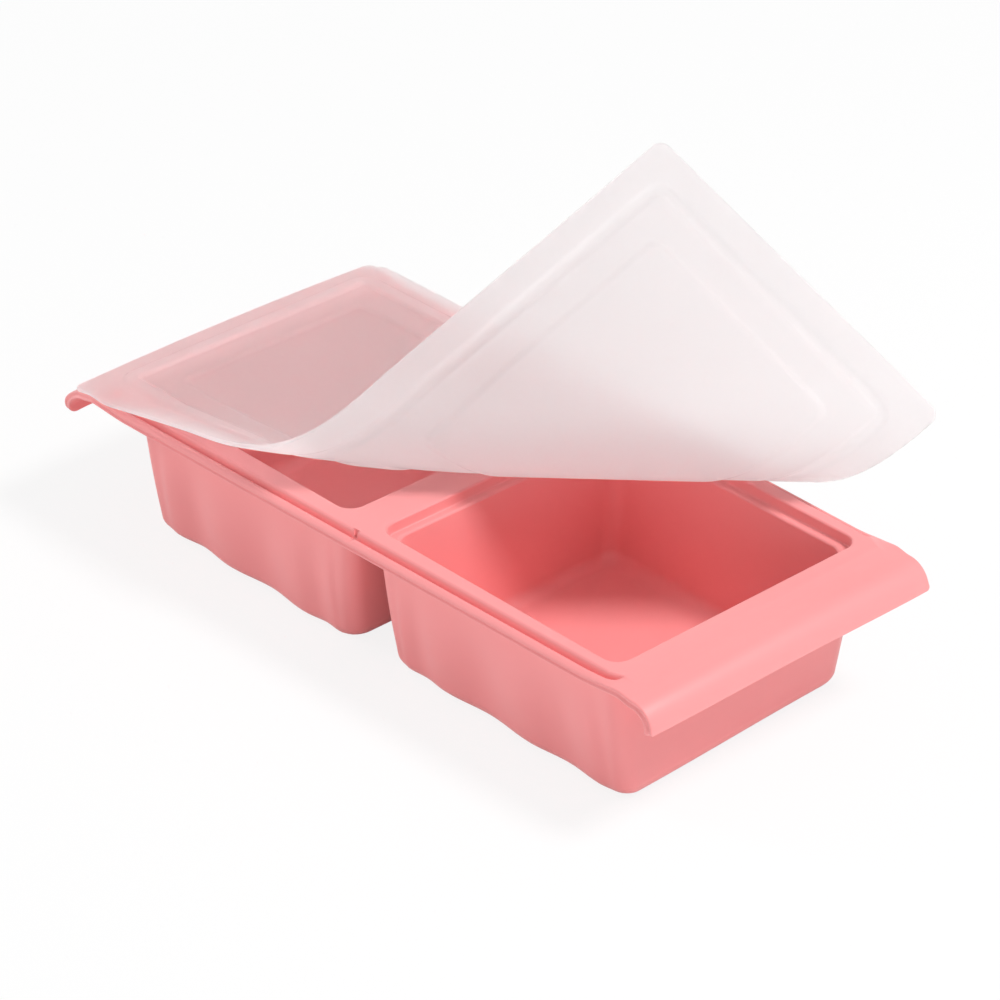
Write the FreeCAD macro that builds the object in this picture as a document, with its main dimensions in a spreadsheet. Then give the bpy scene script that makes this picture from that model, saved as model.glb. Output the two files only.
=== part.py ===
import FreeCAD, Part
import math
import os

V = FreeCAD.Vector
doc = FreeCAD.newDocument("freezer_tray")

# ---------------------------------------------------------------- driving dimensions, mm and degrees
SIZES = [
    ("tray_height", 42.0, "floor of the cups to the top of the frame"),
    ("well_length", 85.3, "one opening along the tray, at the frame"),
    ("well_width", 84.0, "one opening across the tray, at the frame"),
    ("well_corner", 4.5, "corner radius of an opening"),
    ("bridge_width", 11.6, "frame between the two openings"),
    ("ledge_width", 2.4, "step inside each opening"),
    ("ledge_depth", 3.2, "frame top down to the step"),
    ("edge_round", 0.6, "rounding of the edges around the openings"),
    ("wall", 2.6, "silicone wall of a cup at its foot"),
    ("wall_top", 4.0, "silicone wall of a cup at the frame"),
    ("cup_corner", 4.5, "corner radius of a cup, outside"),
    ("floor_thick", 2.2, "silicone floor of a cup"),
    ("lean_end", 1.6, "how far an end wall leans in over its height"),
    ("lean_side", 3.2, "how far a long wall leans in over its height"),
    ("foot_round", 4.5, "radius of the rounding at the foot of a cup"),
    ("floor_round", 3.5, "radius of the rounding at the edge of a cup's floor"),
    ("foot_steps", 4, "flats that make up each of these roundings"),
    ("lobe_1", 7.3, "share of a cup's long wall that its lobe nearest the bridge takes"),
    ("lobe_2", 23.0, "share that the second lobe takes"),
    ("lobe_3", 26.5, "share that the third lobe takes"),
    ("lobe_4", 16.7, "share that the lobe nearest the handle takes"),
    ("lobe_depth", 1.4, "how far the widest lobe stands out at the foot"),
    ("frame_band", 5.6, "flat frame around the openings"),
    ("frame_depth", 4.6, "thickness of the frame that holds the wire"),
    ("frame_corner", 5.0, "corner radius of the frame"),
    ("lip_width", 2.7, "outer lip beside the frame"),
    ("lip_drop", 2.1, "frame top down to the lip"),
    ("lip_thick", 1.5, "thickness of the lip"),
    ("notch_place", 2.4, "middle of the tray to the mark in the frame's edge"),
    ("notch_length", 1.2, "that mark along the edge"),
    ("notch_width", 1.2, "how far that mark cuts in"),
    ("handle_flat", 6.9, "level part of a handle outside the frame"),
    ("handle_step", 0.7, "frame top down to the handle"),
    ("handle_round", 6.8, "outer radius of the curl"),
    ("handle_tail", 0.4, "straight end of the curl"),
    ("handle_thick", 1.8, "thickness of the curl"),
    ("wire_diameter", 2.0, "steel wire inside the frame"),
    ("wire_clearance", 0.05, "channel beyond the wire, each side"),
    ("lid_thick", 1.2, "thickness of the lid"),
    ("lid_clearance", 0.2, "lid above the frame when seated"),
    ("lid_left", 103.0, "middle of the tray to the seated end of the lid"),
    ("lid_right", 109.4, "middle of the tray to the pull edge of the lid"),
    ("lid_width", 102.2, "lid across the tray"),
    ("lid_corner", 6.5, "corner radius of the lid"),
    ("ridge_width", 2.4, "raised ring on the lid"),
    ("ridge_height", 0.8, "raised ring above the lid"),
    ("ridge_inset", 9.5, "edge of the lid to the middle of the ring"),
    ("plug_drop", 1.5, "sunk panels below the lid"),
    ("plug_fit", 0.6, "sunk panel short of the opening at its ends"),
    ("plug_side", 10.2, "sunk panel short of the opening along its sides"),
    ("plug_back", 10.2, "sunk panel short of the opening at the seated end"),
    ("plug_corner", 4.0, "corner radius of a sunk panel"),
    ("fold_heading", 44.4, "fold line, degrees from the length of the tray"),
    ("fold_offset", 0.5, "middle of the tray to where the lid starts to rise"),
    ("fold_radius", 19.4, "radius of the roll"),
    ("fold_turn", 140.0, "how far the flap is turned back, degrees"),
    ("fold_slit", 1.3, "gap between neighbouring bands of the roll"),
    ("set_near", 7.0, "tray's middle to the middle of the whole with the flap turned back"),
]
sheet = doc.addObject("Spreadsheet::Sheet", "Sizes")
for row, (alias, value, meaning) in enumerate(SIZES, start=1):
    sheet.set(f"A{row}", alias)
    sheet.set(f"B{row}", str(value))
    sheet.set(f"C{row}", meaning)
    sheet.setAlias(f"B{row}", alias)
doc.recompute()


def size(alias):
    return float(sheet.get(alias))


# The whole stands with its own middle over the origin, so the tray is set a little to the near side.
SET = FreeCAD.Placement(V(0, -size("set_near"), 0), FreeCAD.Rotation())

# Levels of the tray, from the floor it stands on.
TOP = size("tray_height")
LEDGE = TOP - size("ledge_depth")
FLOOR = size("floor_thick")

# Places along and across the tray, from its middle.
WELL_HALF_LENGTH = size("well_length") / 2
WELL_HALF_WIDTH = size("well_width") / 2
CUP_MIDDLE = size("bridge_width") / 2 + WELL_HALF_LENGTH
WELL_END = size("bridge_width") / 2 + size("well_length")
FRAME_HALF_LENGTH = WELL_END + size("frame_band")
FRAME_HALF_WIDTH = WELL_HALF_WIDTH + size("frame_band")
LIP_HALF_WIDTH = FRAME_HALF_WIDTH + size("lip_width")

# Shares of a cup's long wall, from the bridge out.
LOBES = [size(f"lobe_{number}") for number in (1, 2, 3, 4)]

# ---------------------------------------------------------------- sketches and features


def line(a, b):
    return Part.LineSegment(V(a[0], a[1], 0), V(b[0], b[1], 0))


def arc(a, middle, b):
    return Part.Arc(V(a[0], a[1], 0), V(middle[0], middle[1], 0), V(b[0], b[1], 0))


def bulged(a, b, depth):
    """A side from a to b that stands out by depth to the right of its way."""
    along = V(b[0] - a[0], b[1] - a[1], 0)
    out = V(along.y, -along.x, 0).normalize() * depth
    if depth < 1e-6:
        return line(a, b)
    return arc(a, ((a[0] + b[0]) / 2 + out.x, (a[1] + b[1]) / 2 + out.y), b)


def rounded_loop(x0, x1, y0, y1, radius, lobes=(1,), depth=0.0):
    """A rectangle with round corners. Its two long sides are cut into lobes by their shares, from x0 to
    x1, and the widest of them stands out by depth."""
    tuck = radius * (1 - math.sqrt(0.5))
    left, right = x0 + radius, x1 - radius
    low, high = y0 + radius, y1 - radius
    steps = [left + (right - left) * sum(lobes[:i]) / sum(lobes) for i in range(len(lobes) + 1)]
    depths = [depth * share / max(lobes) for share in lobes]
    loop = [bulged((a, y0), (b, y0), out) for a, b, out in zip(steps, steps[1:], depths)]
    loop.append(arc((right, y0), (x1 - tuck, y0 + tuck), (x1, low)))
    loop.append(line((x1, low), (x1, high)))
    loop.append(arc((x1, high), (x1 - tuck, y1 - tuck), (right, y1)))
    back = steps[::-1]
    loop += [bulged((a, y1), (b, y1), out) for a, b, out in zip(back, back[1:], depths[::-1])]
    loop.append(arc((left, y1), (x0 + tuck, y1 - tuck), (x0, high)))
    loop.append(line((x0, high), (x0, low)))
    loop.append(arc((x0, low), (x0 + tuck, y0 + tuck), (left, y0)))
    return loop


def polygon(points):
    return [line(a, b) for a, b in zip(points, points[1:] + points[:1])]


def new_body(name):
    body = doc.addObject("PartDesign::Body", name)
    body.Label = name
    return body


def sketch_on(body, role, geometry, level=0.0, level_from=None):
    """A sketch on one of the body's own planes, moved by level along the plane's normal."""
    sketch = body.newObject("Sketcher::SketchObject")
    plane = next(f for f in body.Origin.OriginFeatures if f.Role == role)
    sketch.AttachmentSupport = [(plane, "")]
    sketch.MapMode = "FlatFace"
    sketch.AttachmentOffset = FreeCAD.Placement(V(0, 0, level), FreeCAD.Rotation())
    if level_from:
        sketch.setExpression(".AttachmentOffset.Base.z", level_from)
    sketch.addGeometry(geometry, False)
    return sketch


def extrude(body, kind, sketch, length, symmetric=False, reverse=False):
    feature = body.newObject(f"PartDesign::{kind}")
    feature.Profile = sketch
    feature.setExpression("Length", length)
    feature.Midplane = symmetric
    feature.Reversed = reverse
    sketch.Visibility = False
    return feature


def loft(body, kind, sketches):
    feature = body.newObject(f"PartDesign::{kind}")
    feature.Profile = sketches[0]
    feature.Sections = sketches[1:]
    feature.Ruled = True
    return feature


# ---------------------------------------------------------------- tray: one silicone moulding
def cup_half(level, grow):
    """Half length and half width of a cup at a level, grow outside its inner face."""
    lean = (LEDGE - level) / LEDGE
    half_length = WELL_HALF_LENGTH - size("ledge_width") - size("lean_end") * lean
    half_width = WELL_HALF_WIDTH - size("ledge_width") - size("lean_side") * lean
    return half_length + grow, half_width + grow


def cup_section(body, side, level, grow, corner, depth=0.0):
    half_length, half_width = cup_half(level, grow)
    loop = rounded_loop(
        side * CUP_MIDDLE - half_length,
        side * CUP_MIDDLE + half_length,
        -half_width,
        half_width,
        corner,
        LOBES[::side],
        depth,
    )
    return sketch_on(body, "XY_Plane", loop, level)


def foot_levels(base, radius, depth):
    """Levels of the rounding at the foot, from its top down: (level, inset, lobe depth)."""
    steps = int(size("foot_steps"))
    angles = [math.radians(90 * step / steps) for step in range(steps + 1)]
    return [
        (base + radius * (1 - math.sin(a)), radius * (1 - math.cos(a)), depth * math.cos(a / 2))
        for a in angles
    ]


tray = new_body("tray_moulding")

frame_loop = rounded_loop(
    -FRAME_HALF_LENGTH,
    FRAME_HALF_LENGTH,
    -FRAME_HALF_WIDTH,
    FRAME_HALF_WIDTH,
    size("frame_corner"),
)
frame = sketch_on(tray, "XY_Plane", frame_loop, TOP, "Sizes.tray_height")
extrude(tray, "Pad", frame, "Sizes.frame_depth", reverse=True)

lip_loop = rounded_loop(
    -FRAME_HALF_LENGTH,
    FRAME_HALF_LENGTH,
    -LIP_HALF_WIDTH,
    LIP_HALF_WIDTH,
    size("lip_width"),
)
lip = sketch_on(
    tray,
    "XY_Plane",
    lip_loop,
    TOP - size("lip_drop"),
    "Sizes.tray_height - Sizes.lip_drop",
)
extrude(tray, "Pad", lip, "Sizes.lip_thick", reverse=True)


def handle_loop(side):
    """Section of a handle: level where it leaves the frame, then curled down."""
    top = TOP - size("handle_step")
    under = top - size("handle_thick")
    root = FRAME_HALF_LENGTH - size("frame_band") / 2
    crest = FRAME_HALF_LENGTH + size("handle_flat")
    outer = size("handle_round")
    inner = outer - size("handle_thick")
    centre = top - outer
    tip = centre - size("handle_tail")
    half = math.sqrt(0.5)
    return [
        line((side * root, top), (side * crest, top)),
        arc(
            (side * crest, top),
            (side * (crest + outer * half), centre + outer * half),
            (side * (crest + outer), centre),
        ),
        line((side * (crest + outer), centre), (side * (crest + outer), tip)),
        line((side * (crest + outer), tip), (side * (crest + inner), tip)),
        line((side * (crest + inner), tip), (side * (crest + inner), centre)),
        arc(
            (side * (crest + inner), centre),
            (side * (crest + inner * half), centre + inner * half),
            (side * crest, under),
        ),
        line((side * crest, under), (side * root, under)),
        line((side * root, under), (side * root, top)),
    ]


for side in (-1, 1):
    handle = sketch_on(tray, "XZ_Plane", handle_loop(side))
    extrude(
        tray,
        "Pad",
        handle,
        "Sizes.well_width + 2 * (Sizes.frame_band + Sizes.lip_width)",
        symmetric=True,
    )

for side in (-1, 1):
    # Each cup grows from inside the frame, and its lobes come in towards the foot.
    corner = size("cup_corner")
    inside_frame = TOP - size("frame_depth") / 2
    sections = [cup_section(tray, side, inside_frame, size("wall_top"), corner)]
    for level, inset, depth in foot_levels(0.0, size("foot_round"), size("lobe_depth")):
        sections.append(cup_section(tray, side, level, size("wall") - inset, corner, depth))
    loft(tray, "AdditiveLoft", sections)

for side in (-1, 1):
    well_loop = rounded_loop(
        side * CUP_MIDDLE - WELL_HALF_LENGTH,
        side * CUP_MIDDLE + WELL_HALF_LENGTH,
        -WELL_HALF_WIDTH,
        WELL_HALF_WIDTH,
        size("well_corner"),
    )
    well = sketch_on(tray, "XY_Plane", well_loop, TOP, "Sizes.tray_height")
    extrude(tray, "Pocket", well, "Sizes.ledge_depth")
    corner = size("well_corner")
    sections = [cup_section(tray, side, LEDGE, 0.0, corner)]
    for level, inset, depth in foot_levels(FLOOR, size("floor_round"), 0.0):
        sections.append(cup_section(tray, side, level, -inset, corner, depth))
    loft(tray, "SubtractiveLoft", sections)


def around_openings(edge):
    """True for an edge at the top of the frame that bounds an opening."""
    box = edge.BoundBox
    slack = 0.01
    return (
        box.ZMin > TOP - slack
        and max(-box.XMin, box.XMax) < WELL_END + slack
        and max(-box.YMin, box.YMax) < WELL_HALF_WIDTH + slack
    )


doc.recompute()
hollowed = tray.Tip
rims = [
    f"Edge{number}"
    for number, edge in enumerate(hollowed.Shape.Edges, start=1)
    if around_openings(edge)
]
rounding = tray.newObject("PartDesign::Fillet")
rounding.Base = (hollowed, rims)
rounding.setExpression("Radius", "Sizes.edge_round")

for side in (-1, 1):
    edge = side * FRAME_HALF_WIDTH
    cut = edge - side * size("notch_width")
    start = size("notch_place") - size("notch_length") / 2
    end = size("notch_place") + size("notch_length") / 2
    notch_loop = polygon([(start, edge + side), (end, edge + side), (end, cut), (start, cut)])
    notch = sketch_on(tray, "XY_Plane", notch_loop, TOP, "Sizes.tray_height")
    extrude(tray, "Pocket", notch, "Sizes.lip_drop")


# ---------------------------------------------------------------- steel wire inside the frame
def wire_path(body):
    centre = size("frame_band") / 2
    loop = rounded_loop(
        -WELL_END - centre,
        WELL_END + centre,
        -WELL_HALF_WIDTH - centre,
        WELL_HALF_WIDTH + centre,
        size("frame_corner"),
    )
    return sketch_on(
        body,
        "XY_Plane",
        loop,
        TOP - size("frame_depth") / 2,
        "Sizes.tray_height - Sizes.frame_depth / 2",
    )


def wire_round(body, radius):
    across = WELL_HALF_WIDTH + size("frame_band") / 2
    circle = Part.Circle(V(-across, TOP - size("frame_depth") / 2, 0), V(0, 0, 1), radius)
    return sketch_on(body, "YZ_Plane", [circle])


def pipe(body, kind, radius):
    feature = body.newObject(f"PartDesign::{kind}")
    feature.Profile = wire_round(body, radius)
    feature.Spine = (wire_path(body), [])
    return feature


pipe(tray, "SubtractivePipe", size("wire_diameter") / 2 + size("wire_clearance"))
wire = new_body("rim_wire")
pipe(wire, "AdditivePipe", size("wire_diameter") / 2)

tray.Placement = SET
wire.Placement = SET

# ---------------------------------------------------------------- lid: one silicone moulding
# It lies flat on the frame up to the fold line. From there it rolls up in four equal turns, and the flap
# beyond the roll is flat again. Each band of it is cut from the same flat moulding and then carried to
# its place in the roll, so that the bands make the flat lid again when every turn is taken back.
HEADING = math.radians(size("fold_heading"))
ALONG = V(math.cos(HEADING), math.sin(HEADING), 0)
ACROSS = V(math.sin(HEADING), -math.cos(HEADING), 0)
TURNS = 4
TURN = size("fold_turn") / TURNS
HALF_BAND = size("fold_radius") * math.tan(math.radians(TURN) / 2)
LID_BASE = TOP + size("lid_clearance")
LID_MIDDLE = LID_BASE + size("lid_thick") / 2
LID_HALF_WIDTH = size("lid_width") / 2
RIDGE_LEFT = -WELL_END
RIDGE_RIGHT = size("lid_right") - size("ridge_inset")
RIDGE_SIDE = LID_HALF_WIDTH - size("ridge_inset")
REACH = size("lid_left") + size("lid_right")


def fold_line(turn):
    """Distance from the middle of the tray, across the fold, to the line that a turn is about."""
    return size("fold_offset") + (2 * turn - 1) * HALF_BAND


def carried(band):
    """Where a band of the lid is held: past as many turns as its number."""
    place = FreeCAD.Placement()
    for turn in range(1, band + 1):
        hinge = ACROSS * fold_line(turn) + V(0, 0, LID_MIDDLE)
        place = place * FreeCAD.Placement(V(), FreeCAD.Rotation(-ALONG, TURN), hinge)
    return place


def beyond(start, away):
    """A rectangle that covers all of the lid on one side of a line along the fold."""
    corners = [(start, -REACH), (start, REACH), (start + away * REACH, REACH)]
    corners.append((start + away * REACH, -REACH))
    points = [ACROSS * across + ALONG * along for across, along in corners]
    return polygon([(p.x, p.y) for p in points])


def ridge_loops(grow):
    return rounded_loop(
        RIDGE_LEFT - grow,
        RIDGE_RIGHT + grow,
        -RIDGE_SIDE - grow,
        RIDGE_SIDE + grow,
        size("lid_corner") - size("ridge_width") + grow,
    )


def plug_loop(side, shrink):
    """Outline of the sunk panel over one well."""
    near_bridge = size("bridge_width") / 2 + 4 * size("plug_fit")
    far_end = WELL_END - (size("plug_fit") if side > 0 else size("plug_back"))
    ends = sorted((side * near_bridge, side * far_end))
    half = WELL_HALF_WIDTH - size("plug_side")
    return rounded_loop(
        ends[0] + shrink,
        ends[1] - shrink,
        -half + shrink,
        half - shrink,
        size("plug_corner") - shrink,
    )


def lid_band(name, band):
    body = new_body(name)
    outline = rounded_loop(
        -size("lid_left"),
        size("lid_right"),
        -LID_HALF_WIDTH,
        LID_HALF_WIDTH,
        size("lid_corner"),
    )
    base = "Sizes.tray_height + Sizes.lid_clearance"
    plate = sketch_on(body, "XY_Plane", outline, LID_BASE, base)
    extrude(body, "Pad", plate, "Sizes.lid_thick")
    half_ridge = size("ridge_width") / 2
    ring = sketch_on(
        body,
        "XY_Plane",
        ridge_loops(half_ridge) + ridge_loops(-half_ridge),
        LID_BASE,
        base,
    )
    extrude(body, "Pad", ring, "Sizes.lid_thick + Sizes.ridge_height")
    for side in (-1, 1):
        plug = sketch_on(body, "XY_Plane", plug_loop(side, 0.0), LID_BASE, base)
        extrude(body, "Pad", plug, "Sizes.plug_drop", reverse=True)
    for side in (-1, 1):
        hollow = sketch_on(
            body,
            "XY_Plane",
            plug_loop(side, size("lid_thick")),
            LID_BASE + size("lid_thick"),
            base + " + Sizes.lid_thick",
        )
        extrude(body, "Pocket", hollow, "Sizes.plug_drop")
    above = LID_BASE + REACH / 2
    trims = []
    if band > 0:
        trims.append(beyond(fold_line(band) + size("fold_slit") / 2, -1))
    if band < TURNS:
        trims.append(beyond(fold_line(band + 1) - size("fold_slit") / 2, 1))
    for trim in trims:
        cut = sketch_on(body, "XY_Plane", trim, above)
        extrude(body, "Pocket", cut, "Sizes.lid_left + Sizes.lid_right")
    body.Placement = SET * carried(band)
    return body


names = ["lid_seated"] + [f"lid_roll_{band}" for band in range(1, TURNS)] + ["lid_flap"]
lid = [lid_band(name, band) for band, name in enumerate(names)]

# ---------------------------------------------------------------- check and write
doc.recompute()
for item in doc.Objects:
    if any(word in item.State for word in ("Invalid", "Error")):
        raise RuntimeError(f"{item.Label} did not build: {item.State}")

os.makedirs("parts", exist_ok=True)
for body in [tray, wire] + lid:
    shape = body.Shape
    if shape.isNull() or not shape.isValid() or len(shape.Solids) != 1:
        raise RuntimeError(f"{body.Label} is not one sound solid")
    shape.exportStep(f"parts/{body.Label}.step")
    print(body.Label, round(shape.Volume), "mm3")
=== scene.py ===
import math

import bpy
import numpy as np
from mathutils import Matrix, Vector
from mathutils.geometry import delaunay_2d_cdt


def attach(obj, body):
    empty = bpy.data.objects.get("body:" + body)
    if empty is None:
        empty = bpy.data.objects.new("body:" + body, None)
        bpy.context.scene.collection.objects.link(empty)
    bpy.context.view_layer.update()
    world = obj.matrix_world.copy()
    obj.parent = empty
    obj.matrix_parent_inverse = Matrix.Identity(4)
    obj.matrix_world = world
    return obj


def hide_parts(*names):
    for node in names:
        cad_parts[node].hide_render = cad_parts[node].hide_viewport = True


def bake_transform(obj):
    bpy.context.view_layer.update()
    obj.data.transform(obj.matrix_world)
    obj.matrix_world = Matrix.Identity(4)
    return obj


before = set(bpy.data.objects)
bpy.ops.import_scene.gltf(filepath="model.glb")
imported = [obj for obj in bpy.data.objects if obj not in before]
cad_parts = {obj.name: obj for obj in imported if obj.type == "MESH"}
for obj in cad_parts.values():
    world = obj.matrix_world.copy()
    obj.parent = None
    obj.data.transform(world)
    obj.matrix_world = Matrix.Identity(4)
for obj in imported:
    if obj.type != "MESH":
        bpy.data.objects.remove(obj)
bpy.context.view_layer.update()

# ---------------------------------------------------------------- sizes
# In mm and degrees. X runs along the two wells and Y from the near side to the far one, both from the
# middle of the tray, and Z runs up from the floor.
MM = 0.001
# The row's origin lies this far on the far side of the tray's middle.
SET_NEAR = 7.0

# The tray, as in CAD apart from HANDLE_THICK, which is the edge's thickness as it looks.
TOP = 42.0
WELL_LENGTH, WELL_WIDTH, WELL_CORNER = 85.3, 84.0, 4.5
BRIDGE = 11.6
LEDGE_WIDTH, LEDGE_DEPTH = 2.4, 3.2
WALL, WALL_TOP, CUP_CORNER = 2.6, 4.0, 4.5
FLOOR_THICK, FLOOR_ROUND, FOOT_ROUND = 2.2, 3.5, 4.5
LEAN_END, LEAN_SIDE = 1.6, 3.2
FRAME_BAND, FRAME_DEPTH, FRAME_CORNER = 5.6, 4.6, 5.0
LIP_WIDTH, LIP_DROP, LIP_THICK = 2.7, 2.1, 1.5
HANDLE_FLAT, HANDLE_STEP, HANDLE_ROUND, HANDLE_TAIL, HANDLE_THICK = 6.9, 0.7, 6.8, 0.4, 2.1
NOTCH_PLACE, NOTCH_LENGTH, NOTCH_WIDTH = 2.4, 1.2, 1.2
WIRE_DIAMETER = 2.0

# The lid. Its seated end, corners, ridge and sunk panels are measured on the photo and differ from CAD.
LID_THICK, LID_CLEARANCE = 1.2, 0.2
LID_LEFT, LID_RIGHT, LID_WIDTH, LID_CORNER = 105.4, 109.4, 102.2, 3.0
RIDGE_WIDTH, RIDGE_HEIGHT, RIDGE_INSET, RIDGE_CORNER = 5.6, 0.8, 9.4, 3.6
PLUG_DROP, PLUG_FIT, PLUG_SIDE, PLUG_BACK, PLUG_CORNER = 0.6, 0.6, 9.6, 4.4, 4.0
FOLD_HEADING, FOLD_OFFSET, FOLD_RADIUS, FOLD_TURN = 44.4, 0.5, 19.4, 140.0
TURNS = 4

CUP_MIDDLE = BRIDGE / 2 + WELL_LENGTH / 2
WELL_END = BRIDGE / 2 + WELL_LENGTH
FRAME_LENGTH = WELL_END + FRAME_BAND
FRAME_WIDTH = WELL_WIDTH / 2 + FRAME_BAND
LIP_HALF = FRAME_WIDTH + LIP_WIDTH
CREST = FRAME_LENGTH + HANDLE_FLAT
SHEET_END = CREST + HANDLE_ROUND * math.pi / 2 + HANDLE_TAIL
LEDGE = TOP - LEDGE_DEPTH
SIDES = (-1, 1)

# ---------------------------------------------------------------- meshes
# Points closer than this are one point, and a point is on a line within this distance.
WELD = 1e-3
NEAR = 1e-3


def row(points):
    """Points in mm about the tray's middle, to the row frame in metres."""
    return (np.asarray(points, float) - [0, SET_NEAR, 0]) * MM


def smooth(low, high, value):
    """0 up to low, 1 from high on, and a soft step between them."""
    t = np.clip((value - low) / (high - low), 0, 1)
    return t * t * (3 - 2 * t)


def along_profile(t, profile):
    return np.interp(t, [place for place, _ in profile], [value for _, value in profile])


def vertex_normals(points, faces):
    """Normals weighted by face area, so broad faces keep their own direction beside narrow roundings."""
    normals = np.zeros_like(points)
    for count in {len(f) for f in faces}:
        group = np.array([f for f in faces if len(f) == count])
        corners = points[group]
        following = np.roll(corners, -1, axis=1)
        area = np.cross(corners - corners[:, :1], following - corners[:, :1]).sum(axis=1)
        for corner in range(count):
            np.add.at(normals, group[:, corner], area)
    length = np.linalg.norm(normals, axis=1, keepdims=True)
    return normals / np.maximum(length, 1e-12)


def weld(points, faces):
    """Joins points that lie on each other, and drops the faces that this closes up. Gives the points, the
    faces and the number that each face had."""
    keys = np.round(points / WELD).astype(np.int64)
    _, first, index = np.unique(keys, axis=0, return_index=True, return_inverse=True)
    index = index.ravel()
    joined, numbers = [], []
    for number, face in enumerate(faces):
        corners = [int(index[v]) for v in face]
        kept = [v for v, after in zip(corners, corners[1:] + corners[:1]) if v != after]
        if len(set(kept)) >= 3:
            joined.append(kept)
            numbers.append(number)
    return points[first], joined, numbers


def new_mesh(name, points, faces, normals):
    """A smooth mesh object from points in mm, faces and a normal for each point."""
    mesh = bpy.data.meshes.new(name)
    mesh.from_pydata(row(points).tolist(), [], faces)
    mesh.validate()
    mesh.shade_smooth()
    mesh.normals_split_custom_set_from_vertices(normals.tolist())
    obj = bpy.data.objects.new(name, mesh)
    bpy.context.scene.collection.objects.link(obj)
    return obj


class Build:
    """Collects points and faces of one closed mesh."""

    def __init__(self):
        self.points = []
        self.faces = []

    def add(self, points, faces):
        start = len(self.points)
        self.points.extend(np.asarray(points).tolist())
        self.faces.extend([[start + int(v) for v in face] for face in faces])

    def strip(self, rings):
        """Quads between rings of the same number of points."""
        rings = np.asarray(rings)
        rows, count = rings.shape[:2]
        faces = []
        for start in range(0, (rows - 1) * count, count):
            for c in range(count):
                after = (c + 1) % count
                faces.append([start + c, start + after, start + count + after, start + count + c])
        self.add(rings.reshape(-1, 3), faces)

    def cap(self, ring, flip=False):
        face = list(range(len(ring)))
        self.add(ring, [face[::-1] if flip else face])

    def welded(self):
        return weld(np.array(self.points), self.faces)


def loop_of(half_length, half_width, radius, counts, middle=0.0):
    """A rounded rectangle as points, against the clock from the near side, and the way out at each point.
    counts: steps along a long side, along a short side and round a corner."""
    long_steps, short_steps, corner_steps = counts
    inner_length, inner_width = half_length - radius, half_width - radius
    points, normals = [], []

    def side(start, end, out, steps):
        for i in range(1, steps):
            points.append(start + (end - start) * i / steps)
            normals.append(out)

    def corner(centre, first):
        for i in range(corner_steps + 1):
            angle = math.radians(first + 90 * i / corner_steps)
            out = np.array([math.cos(angle), math.sin(angle)])
            points.append(centre + radius * out)
            normals.append(out)

    right, left, far, near = inner_length, -inner_length, inner_width, -inner_width
    side(np.array([left, -half_width]), np.array([right, -half_width]), np.array([0.0, -1.0]), long_steps)
    corner(np.array([right, near]), -90)
    side(np.array([half_length, near]), np.array([half_length, far]), np.array([1.0, 0.0]), short_steps)
    corner(np.array([right, far]), 0)
    side(np.array([right, half_width]), np.array([left, half_width]), np.array([0.0, 1.0]), long_steps)
    corner(np.array([left, far]), 90)
    side(np.array([-half_length, far]), np.array([-half_length, near]), np.array([-1.0, 0.0]), short_steps)
    corner(np.array([left, near]), 180)
    points = np.array(points) + [middle, 0]
    return points, np.array(normals)


def distance_to_loop(x, y, half_length, half_width, radius, middle=0.0):
    """Signed distance to a rounded rectangle, negative inside."""
    dx = np.abs(x - middle) - (half_length - radius)
    dy = np.abs(y) - (half_width - radius)
    outside = np.hypot(np.maximum(dx, 0), np.maximum(dy, 0))
    inside = np.minimum(np.maximum(dx, dy), 0)
    return outside + inside - radius


def triangulate(rings, lines, points):
    """Triangles that keep every ring and every line as edges: their points, corners and middles."""
    verts, edges = [], []
    for ring in rings:
        start = len(verts)
        verts.extend(ring)
        edges.extend((start + i, start + (i + 1) % len(ring)) for i in range(len(ring)))
    for line in lines:
        start = len(verts)
        verts.extend(line)
        edges.extend((start + i, start + i + 1) for i in range(len(line) - 1))
    verts.extend(points)
    result = delaunay_2d_cdt([Vector(v) for v in verts], edges, [], 0, 1e-6)
    flat = np.array([tuple(v) for v in result[0]])
    faces = np.array(result[2])
    return flat, faces, flat[faces].mean(axis=1)


# ---------------------------------------------------------------- tray: its sheet of frame, lip and handles
# The lip turns into the handle between these distances from the middle of the tray.
HANDLE_BLEND = (84.0, 101.0)
# The frame runs down to the handle from here to here, outwards from the frame's edge.
HANDLE_SLOPE = (-1.5, 3.5)
# From the frame's edge over the crowned lip, without the channel: (outwards from the edge, depth).
SLOPE = [(-1.15, 0.0), (-0.5, 0.2), (0.3, 0.85), (0.85, 1.2)]
SLOPE += [(1.2, 1.34), (1.6, 1.42), (2.1, 1.72), (2.7, 2.3)]
# How much deeper the channel between frame and lip is.
CHANNEL = [
    (-1.15, 0.0),
    (-0.85, 0.03),
    (-0.62, 0.3),
    (-0.48, 0.8),
    (-0.36, 1.45),
    (-0.18, 1.85),
    (0.02, 1.8),
    (0.25, 1.45),
    (0.55, 0.75),
    (0.85, 0.26),
    (1.2, 0.0),
]
# Where the channel has run out on the near and on the far side, and over what length it does.
CHANNEL_END_NEAR, CHANNEL_END_FAR, CHANNEL_RUNOUT = 96.2, 91.5, 3.0
# Half the width over which the notch's edges and the step of the underside are softened.
NOTCH_SOFT, UNDER_SOFT = 0.1, 0.5

RIM_ROUND, RIM_CORNER = 0.4, 1.6
# Edge of the lip and the handles: (way out, share of the thickness), with a bead along the lower edge.
RIM_PROFILE = [(-RIM_ROUND, 0.0)]
RIM_PROFILE += [
    (-RIM_ROUND * (1 - math.sin(a)), RIM_ROUND / LIP_THICK * (1 - math.cos(a)))
    for a in np.radians([18, 36, 54, 72, 90])
]
RIM_PROFILE += [(-0.12, 0.36), (-0.2, 0.5), (-0.16, 0.6), (0.04, 0.68), (0.26, 0.76), (0.32, 0.86)]
RIM_PROFILE += [(0.22, 0.96), (0.0, 1.0), (-RIM_ROUND, 1.0)]
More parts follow.
